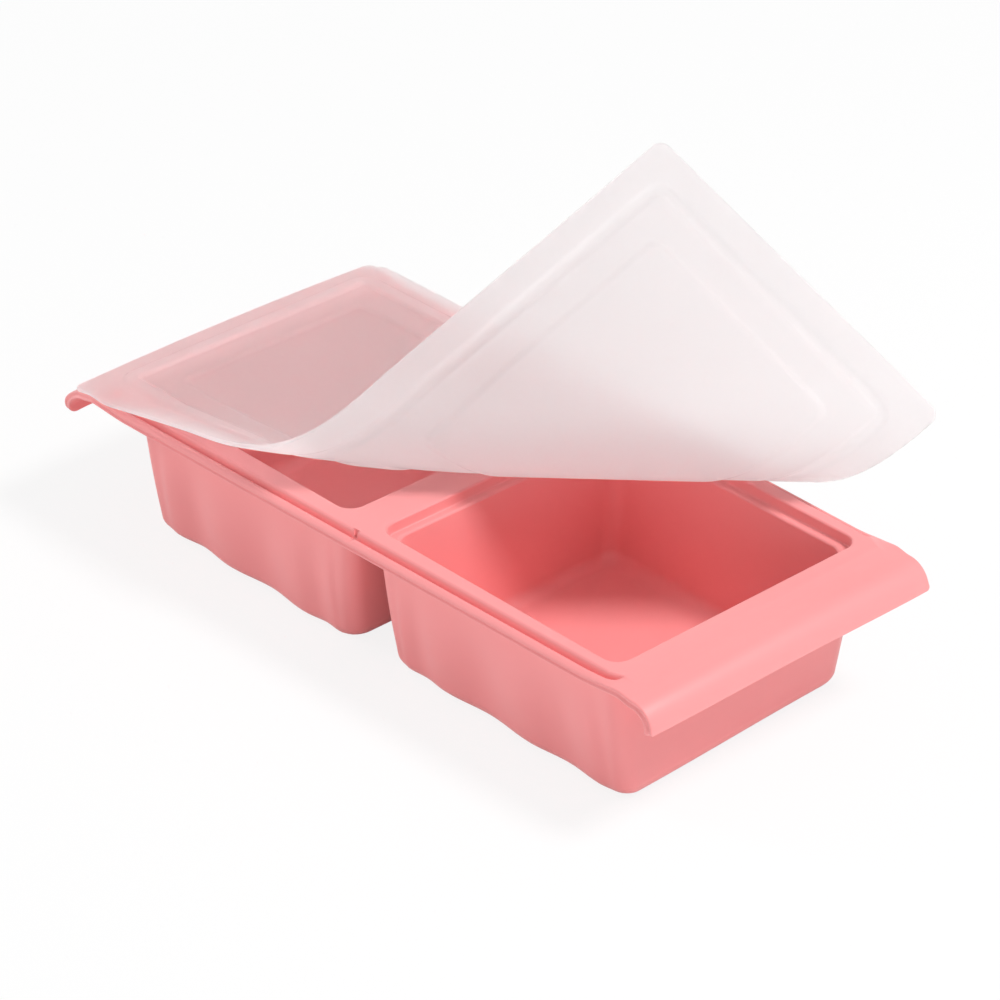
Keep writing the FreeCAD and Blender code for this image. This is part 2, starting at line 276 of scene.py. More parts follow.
# How far the first points of this edge still follow the top's own depth.
RIM_FADE = [1.0, 0.7, 0.4, 0.15] + [0.0] * (len(RIM_PROFILE) - 4)

# Rings of points beside the frame's edge, on the top and on the underside, and steps along them.
STEP_RINGS = (-1.6, -1.15, -0.85, -0.62, -0.48, -0.36, -0.18, 0.02, 0.25, 0.55, 0.85, 1.2, 1.6, 1.9)
UNDER_RINGS = (-0.7, -0.4, -0.2, 0.0, 0.2, 0.4, 0.7)
STEP_COUNTS = (200, 80, 10)
RIM_COUNTS = (230, 90, 6)
# Points over a handle: step round the curl, reach to each side and step across.
CURL_STEP, CURL_REACH, CURL_ACROSS = 0.75, 48.0, 4.0
# Points over a notch: reach and step along the edge, then first, last and step across it.
NOTCH_REACH, NOTCH_STEP = 1.05, 0.1
NOTCH_FIRST, NOTCH_LAST, NOTCH_ACROSS = -1.5, 0.2, 0.11
# How far points stay clear of the rings beside them.
CLEAR_OF_STEP, CLEAR_OF_RIM = 2.2, 0.3


def sheet_point(s, y, depth):
    """A point of the tray's top sheet: s runs along the tray and round the curl of a handle, and depth is
    measured down from the top of the frame."""
    side = np.sign(s)
    past = np.abs(s) - CREST
    radius = HANDLE_ROUND + HANDLE_STEP
    turn = np.clip(past / HANDLE_ROUND, 0, math.pi / 2)
    tail = np.maximum(past - HANDLE_ROUND * math.pi / 2, 0)
    reach = np.where(past < 0, np.abs(s), CREST + (radius - depth) * np.sin(turn))
    height = np.where(past < 0, TOP - depth, TOP - radius + (radius - depth) * np.cos(turn) - tail)
    return np.stack([side * reach, y, height], axis=-1)


def frame_distance(s, y):
    return distance_to_loop(s, y, FRAME_LENGTH, FRAME_WIDTH, FRAME_CORNER)


def at_handle(s):
    """0 beside the wells, 1 on a handle."""
    return smooth(*HANDLE_BLEND, np.abs(s))


def channel_runs(s, y):
    """1 where the channel runs, 0 past its ends, which come sooner on the far side."""
    end = np.where(y < 0, CHANNEL_END_NEAR, CHANNEL_END_FAR)
    return 1 - smooth(end - CHANNEL_RUNOUT, end, np.abs(s))


def top_depth(s, y):
    """Depth of the tray's top below the frame's top."""
    t = frame_distance(s, y)
    end = HANDLE_STEP * smooth(*HANDLE_SLOPE, t)
    handle = at_handle(s)
    depth = along_profile(t, SLOPE) * (1 - handle) + end * handle
    depth = depth + along_profile(t, CHANNEL) * channel_runs(s, y)
    aside = np.abs(s - NOTCH_PLACE)
    across = 1 - smooth(NOTCH_LENGTH / 2 - NOTCH_SOFT, NOTCH_LENGTH / 2 + NOTCH_SOFT, aside)
    along = smooth(-NOTCH_WIDTH - NOTCH_SOFT, -NOTCH_WIDTH + NOTCH_SOFT, t)
    return np.maximum(depth, LIP_DROP * across * along)


def rim_thickness(s):
    return LIP_THICK + (HANDLE_THICK - LIP_THICK) * at_handle(s)


def under_depth(s, y):
    """Depth of the tray's underside below the frame's top, outside the cups."""
    t = frame_distance(s, y)
    rim = LIP_DROP + (HANDLE_STEP - LIP_DROP) * at_handle(s) + rim_thickness(s)
    return rim + (FRAME_DEPTH - rim) * (1 - smooth(-UNDER_SOFT, UNDER_SOFT, t))


def step_rings(offsets):
    """Rings beside the frame's edge."""
    rings = []
    for offset in offsets:
        ring, _ = loop_of(FRAME_LENGTH + offset, FRAME_WIDTH + offset, FRAME_CORNER + offset, STEP_COUNTS)
        rings.append(ring)
    return rings


def curl_grid():
    """Points over the handles, close together along the curl."""
    grid = []
    for side in SIDES:
        for s in np.arange(FRAME_LENGTH + CLEAR_OF_STEP, SHEET_END - RIM_ROUND - CLEAR_OF_RIM, CURL_STEP):
            for y in np.arange(-CURL_REACH, CURL_REACH + 0.1, CURL_ACROSS):
                grid.append((side * s, y))
    return grid


def notch_grid():
    """Points over the notch in each long edge of the frame."""
    grid = []
    for side in SIDES:
        for s in np.arange(NOTCH_PLACE - NOTCH_REACH, NOTCH_PLACE + NOTCH_REACH + 0.01, NOTCH_STEP):
            for t in np.arange(NOTCH_FIRST, NOTCH_LAST + 0.01, NOTCH_ACROSS):
                grid.append((s, side * (FRAME_WIDTH + t)))
    return grid


def sheet_faces(outline, holes, rings, grid, hole_size):
    """Triangles of the tray's sheet inside its outline and outside the holes for the two cups."""
    flat, faces, centre = triangulate([outline] + holes + rings, [], grid)
    x, y = centre.T
    edge = distance_to_loop(x, y, SHEET_END - RIM_ROUND, LIP_HALF - RIM_ROUND, RIM_CORNER - RIM_ROUND)
    keep = edge < NEAR
    for side in SIDES:
        keep &= distance_to_loop(x, y, *hole_size, side * CUP_MIDDLE) > -NEAR
    return flat, faces[keep]


def rim_rows(outline, out, inner, rim_top, thick):
    """Rings of the rim's edge, from the top round to the underside."""
    on_edge = top_depth(inner[:, 0], inner[:, 1])
    rows = []
    for (grow, share), fade in zip(RIM_PROFILE, RIM_FADE):
        place = outline + out * grow
        depth = rim_top + (on_edge - rim_top) * fade + thick * share
        rows.append(sheet_point(place[:, 0], place[:, 1], depth))
    return rows


def under_points(flat, inner, rim_depth):
    """Points of the underside, which ends where the rim's edge comes round to it."""
    under = sheet_point(flat[:, 0], flat[:, 1], under_depth(flat[:, 0], flat[:, 1]))
    apart = np.hypot(flat[:, None, 0] - inner[None, :, 0], flat[:, None, 1] - inner[None, :, 1])
    nearest = apart.argmin(axis=1)
    touching = apart[np.arange(len(flat)), nearest] < NEAR
    ends = sheet_point(flat[:, 0], flat[:, 1], rim_depth[nearest])
    return np.where(touching[:, None], ends, under)


# ---------------------------------------------------------------- tray: its cups
CUP_COUNTS = (84, 60, 8)
# Crests and hollows of the soft lobes on a cup's long walls: (from the middle of the tray, standing out).
LOBES = [
    (11.7, 0.45),
    (13.5, 0.8),
    (18.7, 0.4),
    (27.0, 1.35),
    (41.5, 0.0),
    (57.0, 1.35),
    (70.0, 0.05),
    (80.0, 1.0),
    (85.2, 0.3),
]
# Above the foot the lobes grow by this share up to this height, and run out between the last two heights.
LOBE_GROW, LOBE_FULL, LOBE_FADE = 0.4, 9.0, (12.0, 32.0)
UNDER_FILLET = 1.0
EDGE_ROUND = 0.6
LEDGE_ROUND = 0.8
LEDGE_FILLET = 0.5
# Levels down a cup's wall and round its foot, outside and inside, and the angles of a small rounding.
OUTER_WALL, OUTER_FOOT, INNER_WALL, INNER_FOOT = 16, 11, 10, 9
QUARTER = (0, 22, 45, 68, 90)


def lobe(x):
    """How far the wall stands out at a distance from the middle of the tray."""
    places = np.array([p for p, _ in LOBES])
    depths = np.array([d for _, d in LOBES])
    x = np.clip(np.abs(x), places[0], places[-1] - 1e-6)
    i = np.clip(np.searchsorted(places, x, side="right") - 1, 0, len(places) - 2)
    t = (x - places[i]) / (places[i + 1] - places[i])
    return depths[i] + (depths[i + 1] - depths[i]) * (1 - np.cos(math.pi * t)) / 2


def lobe_strength(z):
    """The lobes are fullest a little above the foot, and run out under the frame."""
    above = z - FOOT_ROUND
    return float((1 + LOBE_GROW * smooth(0, LOBE_FULL, above)) * (1 - smooth(*LOBE_FADE, above)))


def cup_ring(side, z, half_length, half_width, corner, lobes=0.0):
    ring, out = loop_of(half_length, half_width, corner, CUP_COUNTS, side * CUP_MIDDLE)
    if lobes:
        ring = ring + out * (lobe(ring[:, 0]) * lobes * np.abs(out[:, 1]) ** 2)[:, None]
    return np.column_stack([ring, np.full(len(ring), z)])


def cup_half(z, grow):
    """Half length and half width of a cup's inside at a level, and of what lies grow outside it."""
    lean = (LEDGE - z) / LEDGE
    half_length = WELL_LENGTH / 2 - LEDGE_WIDTH - LEAN_END * lean + grow
    half_width = WELL_WIDTH / 2 - LEDGE_WIDTH - LEAN_SIDE * lean + grow
    return half_length, half_width


def outer_half(z):
    """Half length and half width of a cup's outside, at a level above its foot rounding."""
    high, low = TOP - FRAME_DEPTH / 2, FOOT_ROUND
    share = (high - z) / (high - low)
    top, foot = cup_half(high, WALL_TOP), cup_half(low, WALL)
    return [a + (b - a) * share for a, b in zip(top, foot)]


def outside_rings(side):
    """From the underside of the frame down to the foot."""
    rings = []
    under = TOP - FRAME_DEPTH
    for a in np.radians([90, 60, 30, 0]):
        z = under - UNDER_FILLET * (1 - math.sin(a))
        half_length, half_width = outer_half(z)
        grow = UNDER_FILLET * (1 - math.cos(a))
        rings.append(cup_ring(side, z, half_length + grow, half_width + grow, CUP_CORNER + grow))
    for z in np.linspace(under - UNDER_FILLET, FOOT_ROUND, OUTER_WALL)[1:]:
        rings.append(cup_ring(side, z, *outer_half(z), CUP_CORNER, lobe_strength(z)))
    for a in np.radians(np.linspace(0, 90, OUTER_FOOT)[1:]):
        z = FOOT_ROUND * (1 - math.sin(a))
        inset = FOOT_ROUND * (1 - math.cos(a))
        rings.append(cup_ring(side, z, *cup_half(z, WALL - inset), CUP_CORNER, math.cos(a / 2)))
    return rings


def inside_rings(side):
    """From the frame's top, over the edge of the well and its step, down to the floor."""
    rings = []

    def ring(z, grow, corner):
        rings.append(cup_ring(side, z, WELL_LENGTH / 2 + grow, WELL_WIDTH / 2 + grow, corner))

    for a in np.radians(QUARTER):
        grow = EDGE_ROUND * (1 - math.sin(a))
        ring(TOP - EDGE_ROUND * (1 - math.cos(a)), grow, WELL_CORNER + grow)
    for a in np.radians([0, 30, 60, 90]):
        grow = -LEDGE_FILLET * (1 - math.cos(a))
        ring(LEDGE + LEDGE_FILLET * (1 - math.sin(a)), grow, WELL_CORNER + grow)
    edge = LEDGE_WIDTH - LEDGE_ROUND
    for a in np.radians(QUARTER):
        grow = -edge - LEDGE_ROUND * math.sin(a)
        ring(LEDGE - LEDGE_ROUND * (1 - math.cos(a)), grow, WELL_CORNER - edge + edge * math.sin(a))
    for z in np.linspace(LEDGE - LEDGE_ROUND, FLOOR_THICK + FLOOR_ROUND, INNER_WALL)[1:]:
        rings.append(cup_ring(side, z, *cup_half(z, 0.0), WELL_CORNER))
    for a in np.radians(np.linspace(0, 90, INNER_FOOT)[1:]):
        z = FLOOR_THICK + FLOOR_ROUND * (1 - math.sin(a))
        rings.append(cup_ring(side, z, *cup_half(z, -FLOOR_ROUND * (1 - math.cos(a))), WELL_CORNER))
    return rings


# ---------------------------------------------------------------- tray: how the silicone stands
# The ends of both handles hang and draw in over this stretch of the tray, and the left handle hangs further.
HANG_RUN, HANG_DROP, HANG_PULL = (97.0, 103.6), 0.9, 0.8
LEFT_RUN, LEFT_HANG = (103.0, 110.0), 1.6
# Share of x by which the rim moves in, beyond this distance from the tray's middle line and in this height.
RIM_TAPER, TAPER_RUN, TAPER_HEIGHT = 0.0186, (42.8, 46.6), (TOP - 12.0, TOP - 5.0)
# How far the feet stand out of true: at the right end, at the bridge, at the left end and across the tray.
FOOT_RIGHT, FOOT_BRIDGE, FOOT_LEFT, FOOT_ACROSS = 2.0, -1.3, 0.5, 0.8
# How far the left cup's end stands out of true over its whole height.
CUP_LEFT = 1.0
# Where these come in: up the cups, along them, and across the tray.
CUP_HEIGHT, FOOT_HEIGHT = (TOP - 8.0, LEDGE - 0.3), (FOOT_ROUND, TOP - FRAME_DEPTH)
END_RUN, BRIDGE_RUN = (60.0, 88.0), (40.0, 10.0)
NEAR_RUN, SIDE_RUN = (40.0, -40.0), (30.0, 40.0)


def hang(x, y):
    """How far the ends of the handles hang, and how far they draw in."""
    handle = smooth(*HANG_RUN, np.abs(x)) * (y / LIP_HALF) ** 2
    left = smooth(*LEFT_RUN, -x)
    drop = HANG_DROP * handle + LEFT_HANG * left
    pull = -HANG_PULL * np.sign(x) * handle * (y / LIP_HALF) ** 2 - LEFT_HANG * left
    return drop, pull


def taper(x, y):
    """The rim runs a little narrower towards the right handle."""
    shift = np.where(y < 0, RIM_TAPER * x, -RIM_TAPER * np.maximum(x, 0))
    return shift * smooth(*TAPER_RUN, np.abs(y))


def lean(x, y, z):
    """The cups stand a little out of true: (along the tray, across it)."""
    cup = 1 - smooth(*CUP_HEIGHT, z)
    foot = 1 - smooth(*FOOT_HEIGHT, z)
    near = smooth(*NEAR_RUN, y)
    right_end = FOOT_RIGHT * foot * near * smooth(*END_RUN, x)
    bridge_end = FOOT_BRIDGE * foot * smooth(*BRIDGE_RUN, x) * (x > 0)
    left_end = (CUP_LEFT + FOOT_LEFT * foot) * cup * smooth(*END_RUN, -x)
    across = np.where(x < 0, -FOOT_ACROSS, FOOT_ACROSS) * foot * smooth(*SIDE_RUN, -y)
    return right_end + bridge_end + left_end, across


def settled(points):
    """The silicone as it stands, which is never quite true."""
    x, y, z = np.array(points, float).T
    drop, pull = hang(x, y)
    shift = taper(x, y) * smooth(*TAPER_HEIGHT, z)
    along, across = lean(x, y, z)
    return np.stack([x + pull + along, y + shift + across, z - drop], axis=-1)


def settled_mesh(name, build):
    points, faces, _ = build.welded()
    points = settled(points)
    return new_mesh(name, points, faces, vertex_normals(points, faces))


def make_tray():
    build = Build()
    outline, out = loop_of(SHEET_END, LIP_HALF, RIM_CORNER, RIM_COUNTS)
    inner = outline - out * RIM_ROUND
    s, y = outline.T
    inside = np.clip(y, -LIP_HALF + 0.01, LIP_HALF - 0.01)
    rim_top = np.where(at_handle(s) < 1, top_depth(s, inside), HANDLE_STEP)
    thick = rim_thickness(s)

    # Top of the frame, lip and handles, and the edge all round.
    wells = [inside_rings(side) for side in SIDES]
    holes = [rings[0][:, :2] for rings in wells]
    hole_size = (WELL_LENGTH / 2 + EDGE_ROUND, WELL_WIDTH / 2 + EDGE_ROUND, WELL_CORNER + EDGE_ROUND)
    grid = curl_grid() + notch_grid()
    flat, faces = sheet_faces(inner, holes, step_rings(STEP_RINGS), grid, hole_size)
    build.add(sheet_point(flat[:, 0], flat[:, 1], top_depth(flat[:, 0], flat[:, 1])), faces)
    build.strip([r[::-1] for r in rim_rows(outline, out, inner, rim_top, thick)])

    # Underside.
    cups = [outside_rings(side) for side in SIDES]
    holes = [rings[0][:, :2] for rings in cups]
    half_length, half_width = outer_half(TOP - FRAME_DEPTH)
    hole_size = (half_length + UNDER_FILLET, half_width + UNDER_FILLET, CUP_CORNER + UNDER_FILLET)
    flat, faces = sheet_faces(inner, holes, step_rings(UNDER_RINGS), curl_grid(), hole_size)
    build.add(under_points(flat, inner, rim_top + thick), faces[:, ::-1])

    for rings in wells:
        build.strip([r[::-1] for r in rings][::-1])
        build.cap(rings[-1])
    for rings in cups:
        build.strip([r[::-1] for r in rings])
        build.cap(rings[-1], flip=True)
    tray = settled_mesh("silicone_tray", build)
    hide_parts("tray_moulding")
    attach(tray, "tray")
    return tray


WIRE_COUNTS = (60, 30, 10)
WIRE_SIDES = 16


def make_wire():
    """The steel loop inside the frame, round both wells."""
    inset = FRAME_BAND / 2
    path, out = loop_of(WELL_END + inset, WELL_WIDTH / 2 + inset, FRAME_CORNER, WIRE_COUNTS)
    middle = TOP - FRAME_DEPTH / 2
    rings = []
    for angle in np.linspace(0, 2 * math.pi, WIRE_SIDES + 1):
        place = path + out * (WIRE_DIAMETER / 2 * math.cos(angle))
        height = middle + WIRE_DIAMETER / 2 * math.sin(angle)
        rings.append(np.column_stack([place, np.full(len(path), height)]))
    build = Build()
    build.strip(rings)
    wire = settled_mesh("wire_loop", build)
    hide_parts("rim_wire")
    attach(wire, "tray")
    return wire


# ---------------------------------------------------------------- lid: its form
HEADING = math.radians(FOLD_HEADING)
# Ways along the fold and across it, from the seated part to the raised one.
ALONG = np.array([math.cos(HEADING), math.sin(HEADING)])
ACROSS = np.array([math.sin(HEADING), -math.cos(HEADING)])
TURN = math.radians(FOLD_TURN)
HALF_BAND = FOLD_RADIUS * math.tan(TURN / TURNS / 2)
ROLL_LENGTH = 2 * TURNS * HALF_BAND
# Where the six pieces of the lid meet, across the fold.
SEAMS = [FOLD_OFFSET + 2 * band * HALF_BAND for band in range(TURNS + 1)]
LID_MIDDLE = TOP + LID_CLEARANCE + LID_THICK / 2
LID_HALF = LID_WIDTH / 2
LID_CENTRE = (LID_RIGHT - LID_LEFT) / 2
LID_LENGTH = (LID_RIGHT + LID_LEFT) / 2
RIDGE_LEFT, RIDGE_RIGHT = RIDGE_INSET - LID_LEFT, LID_RIGHT - RIDGE_INSET
RIDGE_CENTRE = (RIDGE_RIGHT + RIDGE_LEFT) / 2
RIDGE_HALF = ((RIDGE_RIGHT - RIDGE_LEFT) / 2, LID_HALF - RIDGE_INSET)
PLUG_WIDTH = WELL_WIDTH / 2 - PLUG_SIDE
# The ridge's flank and the groove under it: how far inside the ridge's edge they begin and end.
RIDGE_FLANK, GROOVE_FLANK, GROOVE_DEPTH = (1.4, -0.1), (2.4, 0.6), 0.6
# The flank of a sunk panel, outwards from its edge.
PLUG_FLANK = (-2.2, 0.1)

LID_COUNTS, RIDGE_COUNTS, PLUG_COUNTS = (150, 72, 12), (110, 50, 8), (46, 40, 6)
LID_EDGE, LID_EDGE_ROWS = 0.5, 9
# Least height of the lid above the tray.
LID_GAP = 0.15
RIDGE_RINGS = (-3.0, -2.6, -2.2, -1.8, -1.4, -0.9, -0.3, 0.3, 0.9, 1.4, 1.8, 2.2, 2.6, 3.0)
PLUG_RINGS = (-2.3, -1.9, -1.5, -1.1, -0.7, -0.3, 0.15)
# Points over the lid: how far they reach, and their steps across the flat parts, across the roll and along
# the fold. The seams reach further, in this many points.
GRID_REACH, FLAT_STEP, ROLL_STEP, ALONG_STEP = 130, 6.0, 0.9, 3.0
SEAM_REACH, SEAM_STEPS = 140, 200

# How the near edge of the lid lifts ahead of the roll: (way across the fold, rise).
LIFT = [
    (-40.0, -1.9),
    (-33.0, -1.8),
    (-28.0, -1.4),
    (-25.0, -0.5),
    (-17.0, 1.7),
    (-11.4, 3.1),
    (-4.0, 5.0),
    (3.0, 6.3),
    (10.6, 6.0),
    (17.0, 4.6),
    (25.0, 2.6),
    (33.0, 1.0),
    (42.0, 0.0),
]
# The rise is taken at this many places and blurred over this many, an odd number.
LIFT_PLACES, LIFT_BLUR = 165, 25
# Across the lid it begins at this y and is whole after this run, with this power and at most this share.
RISE_BEGIN, RISE_RUN, RISE_POWER, RISE_MOST = -6.0, 45.1, 1.8, 1.05
# Where the sag comes in across the lid, and where its left end begins to follow the handle.
SAG_RUN, DRAPE_RUN = (-44.5, -50.0), (-96.0, -102.0)


def lift(x, y, across):
    """Rise of the lid's near border, and its sag onto the lip at the left end."""
    places = np.linspace(LIFT[0][0], LIFT[-1][0], LIFT_PLACES)
    kernel = np.hanning(LIFT_BLUR)
    padded = np.pad(along_profile(places, LIFT), LIFT_BLUR // 2, mode="edge")
    rise = np.convolve(padded, kernel / kernel.sum(), mode="valid")
    value = np.interp(across, places, rise)
    risen = np.clip((RISE_BEGIN - y) / RISE_RUN, 0, RISE_MOST) ** RISE_POWER
    return value * np.where(value < 0, smooth(*SAG_RUN, y), risen)


def tray_height(x, y):
    """Height of the tray's top under a point of its rim."""
    over = np.clip((np.abs(x) - CREST) / (HANDLE_ROUND + HANDLE_STEP), 0, 1)
    s = np.sign(x) * (np.minimum(np.abs(x), CREST) + HANDLE_ROUND * np.arcsin(over))
    y = np.clip(y, -LIP_HALF, LIP_HALF)
    return sheet_point(s, y, top_depth(s, y))[..., 2] - hang(x, y)[0]


def rolled(x, y, height):
    """Carries a point of the flat lid, height above its middle, into the roll and the raised flap."""
    x, y = np.asarray(x, float), np.asarray(y, float)
    raised = lift(x, y, x * ACROSS[0] + y * ACROSS[1] - FOLD_OFFSET)
    raised = raised + smooth(*DRAPE_RUN, x) * (tray_height(x, y) - TOP)
    floor = tray_height(x, y) + LID_GAP - TOP - LID_CLEARANCE
    raised = np.where(x < 0, np.maximum(raised, floor), raised)
    y = y + np.where(x < 0, taper(x, y) * (y < 0), 0)
    across = x * ACROSS[0] + y * ACROSS[1] - FOLD_OFFSET
    along = x * ALONG[0] + y * ALONG[1]
    angle = np.clip(across / ROLL_LENGTH, 0, 1) * TURN
    before = np.minimum(across, 0)
    past = np.maximum(across - ROLL_LENGTH, 0)
    out = before + (FOLD_RADIUS - height) * np.sin(angle) + past * math.cos(TURN)
    up = FOLD_RADIUS - (FOLD_RADIUS - height) * np.cos(angle) + past * math.sin(TURN)
    out = out + FOLD_OFFSET
    return np.stack(
        [
            out * ACROSS[0] + along * ALONG[0],
            out * ACROSS[1] + along * ALONG[1],
            LID_MIDDLE + up + raised,
        ],
        axis=-1,
    )


def plug_box(side):
    """Middle and half length of the sunk panel over a well."""
    near_bridge = BRIDGE / 2 + 4 * PLUG_FIT
    far_end = WELL_END - (PLUG_FIT if side > 0 else PLUG_BACK)
    return side * (near_bridge + far_end) / 2, (far_end - near_bridge) / 2


def lid_features(x, y):
    """Height of the lid's top and of its underside above its middle."""
    ridge = np.abs(distance_to_loop(x, y, *RIDGE_HALF, RIDGE_CORNER, RIDGE_CENTRE))
    edge = RIDGE_WIDTH / 2
    bump = 1 - smooth(edge - RIDGE_FLANK[0], edge - RIDGE_FLANK[1], ridge)
    groove = 1 - smooth(edge - GROOVE_FLANK[0], edge - GROOVE_FLANK[1], ridge)
    top = LID_THICK / 2 + RIDGE_HEIGHT * bump
    under = -LID_THICK / 2 + GROOVE_DEPTH * groove
    for side in SIDES:
        middle, half = plug_box(side)
        panel = distance_to_loop(x, y, half, PLUG_WIDTH, PLUG_CORNER, middle)
        sunk = PLUG_DROP * (1 - smooth(*PLUG_FLANK, panel))
        top = top - sunk
        under = under - sunk
    return top, under


# ---------------------------------------------------------------- lid: its mesh
def lid_rings():
    """Rings of points along the ridge and round the sunk panels."""
    rings = []
    for t in RIDGE_RINGS:
        half_length, half_width = RIDGE_HALF
        ring, _ = loop_of(half_length + t, half_width + t, RIDGE_CORNER + t, RIDGE_COUNTS, RIDGE_CENTRE)
        rings.append(ring)
    for side in SIDES:
        middle, half = plug_box(side)
        for t in PLUG_RINGS:
            ring, _ = loop_of(half + t, PLUG_WIDTH + t, PLUG_CORNER + t, PLUG_COUNTS, middle)
            rings.append(ring)
    return rings


def lid_grid():
    """Points over the lid: lines along the fold, close together where it rolls."""
    lines = list(np.arange(-120, -2, FLAT_STEP)) + list(np.arange(-1.5, ROLL_LENGTH + 2, ROLL_STEP))
    lines += list(np.arange(ROLL_LENGTH + FLAT_STEP, GRID_REACH, FLAT_STEP))
    grid = []
    for across in lines:
        for along in np.arange(-GRID_REACH, GRID_REACH, ALONG_STEP):
            grid.append(ACROSS * (across + FOLD_OFFSET) + ALONG * along)
    grid = np.array(grid)
    return grid[inside_lid(grid, LID_EDGE + 0.6)]


def inside_lid(points, inset):
    half_length, half_width, corner = LID_LENGTH - inset, LID_HALF - inset, LID_CORNER - inset
    return distance_to_loop(*points.T, half_length, half_width, corner, LID_CENTRE) < -NEAR


def seam_lines(inner):
    """The lines where the pieces of the lid meet, from edge to edge of the ring inner."""
    lines = []
    for across in SEAMS:
        start, end = ACROSS * across - ALONG * SEAM_REACH, ACROSS * across + ALONG * SEAM_REACH
        steps = start + (end - start) * np.linspace(0, 1, SEAM_STEPS)[:, None]
        kept = steps[inside_lid(steps, LID_EDGE + 0.3)]
        ends = inner[np.abs(inner @ ACROSS - start @ ACROSS) < LID_EDGE * 0.75]
        first, last = ends[(ends @ ALONG).argmin()], ends[(ends @ ALONG).argmax()]
        lines.append(np.vstack([first, kept, last]))
    return lines


def cut_outline(outline, out):
    """The lid's outline with a point added wherever a seam crosses it."""
    points, normals = [], []
    across = outline @ ACROSS
    count = len(outline)
    for i in range(count):
        j = (i + 1) % count
        points.append(outline[i])
        normals.append(out[i])
        crossed = [s for s in SEAMS if (across[i] - s) * (across[j] - s) < 0]
        for s in sorted(crossed, key=lambda s: abs(s - across[i])):
            share = (s - across[i]) / (across[j] - across[i])
            points.append(outline[i] + (outline[j] - outline[i]) * share)
            normals.append(out[i] + (out[j] - out[i]) * share)
    return np.array(points), np.array(normals)


def lid_mesh():
    """Points and faces of the whole lid, and the number of the piece that each face belongs to."""
    outline, out = loop_of(LID_LENGTH, LID_HALF, LID_CORNER, LID_COUNTS, LID_CENTRE)
    outline, out = cut_outline(outline, out)
    inner = outline - out * LID_EDGE
    flat, faces, centre = triangulate([inner] + lid_rings(), seam_lines(inner), lid_grid())
    kept = inside_lid(centre, LID_EDGE - 0.01)
    faces, centre = faces[kept], centre[kept]
    top, under = lid_features(flat[:, 0], flat[:, 1])
    build = Build()
    build.add(rolled(flat[:, 0], flat[:, 1], top), faces)
    build.add(rolled(flat[:, 0], flat[:, 1], under), faces[:, ::-1])
    rows = []
    for angle in np.radians(np.linspace(90, -90, LID_EDGE_ROWS)):
        place = outline - out * (LID_EDGE * (1 - math.cos(angle)))
        height = np.full(len(place), LID_THICK / 2 * math.sin(angle))
        rows.append(rolled(place[:, 0], place[:, 1], height)[::-1])
    build.strip(rows)
    middle = (outline[::-1] + np.roll(outline[::-1], -1, axis=0)) / 2
    across = np.concatenate([centre @ ACROSS] * 2 + [middle @ ACROSS] * (len(rows) - 1))
    points, faces, numbers = build.welded()
    return points, faces, np.searchsorted(SEAMS, across[numbers])


# Pieces of the lid: (name, nodes that it replaces, body at its start, body at its end).
LID_PIECES = [
    ("lid_sheet_seated", ["lid_seated"], "lid", "lid"),
    ("lid_sheet_bend_1", ["lid_roll_1"], "lid", "roll_1"),
    ("lid_sheet_bend_2", ["lid_roll_2"], "roll_1", "roll_2"),
    ("lid_sheet_bend_3", ["lid_roll_3"], "roll_2", "roll_3"),
    ("lid_sheet_bend_4", [], "roll_3", "flap"),
    ("lid_sheet_flap", ["lid_flap"], "flap", "flap"),
]


def make_lid():
    """The lid as pieces that share the points and normals of their seams."""
    points, faces, part = lid_mesh()
    normals = vertex_normals(points, faces)
    pieces = []
    for number, (name, nodes, first_body, last_body) in enumerate(LID_PIECES):
        mine = [faces[i] for i in np.where(part == number)[0]]
        used = sorted({v for f in mine for v in f})
        place = {v: i for i, v in enumerate(used)}
        piece = new_mesh(name, points[used], [[place[v] for v in f] for f in mine], normals[used])
        if nodes:
            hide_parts(*nodes)
        if first_body == last_body:
            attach(piece, first_body)
        else:
            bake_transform(piece)
        pieces.append(piece)
    return pieces


# ---------------------------------------------------------------- materials
def new_material(name):
    material = bpy.data.materials.new(name)
    material.use_nodes = True
    tree = material.node_tree
    tree.nodes.clear()
    return material, tree


def node(tree, kind, **values):
    made = tree.nodes.new(kind)
    for key, value in values.items():
        made.inputs[key].default_value = value
    return made


def show(tree, surface):
    """Gives the material its surface."""
    output = tree.nodes.new("ShaderNodeOutputMaterial")
    tree.links.new(surface, output.inputs["Surface"])


def mixed(tree, mix, first, second):
    """Joins two surfaces to a mix shader node."""
    tree.links.new(first, mix.inputs[1])
    tree.links.new(second, mix.inputs[2])
    return mix.outputs["Shader"]


def mottled(tree, first, second, scale):
    """A colour that drifts softly between two near shades."""
    coordinates = tree.nodes.new("ShaderNodeTexCoord")
    noise = node(tree, "ShaderNodeTexNoise", Scale=scale, Detail=3.0, Roughness=0.5)
    tree.links.new(coordinates.outputs["Object"], noise.inputs["Vector"])
    mix = tree.nodes.new("ShaderNodeMix")
    mix.data_type = "RGBA"
    mix.inputs["A"].default_value = first
    mix.inputs["B"].default_value = second
    tree.links.new(noise.outputs["Fac"], mix.inputs["Factor"])
    return mix.outputs["Result"]


def coral_silicone():
    material, tree = new_material("coral_silicone")
    colour = mottled(tree, (0.945, 0.325, 0.325, 1), (0.925, 0.305, 0.31, 1), 18.0)
    shader = node(tree, "ShaderNodeBsdfPrincipled", Roughness=0.42, IOR=1.42)
    shader.inputs["Sheen Weight"].default_value = 0.25
    shader.inputs["Sheen Roughness"].default_value = 0.5
    tree.links.new(colour, shader.inputs["Base Color"])
    show(tree, shader.outputs["BSDF"])
    return material


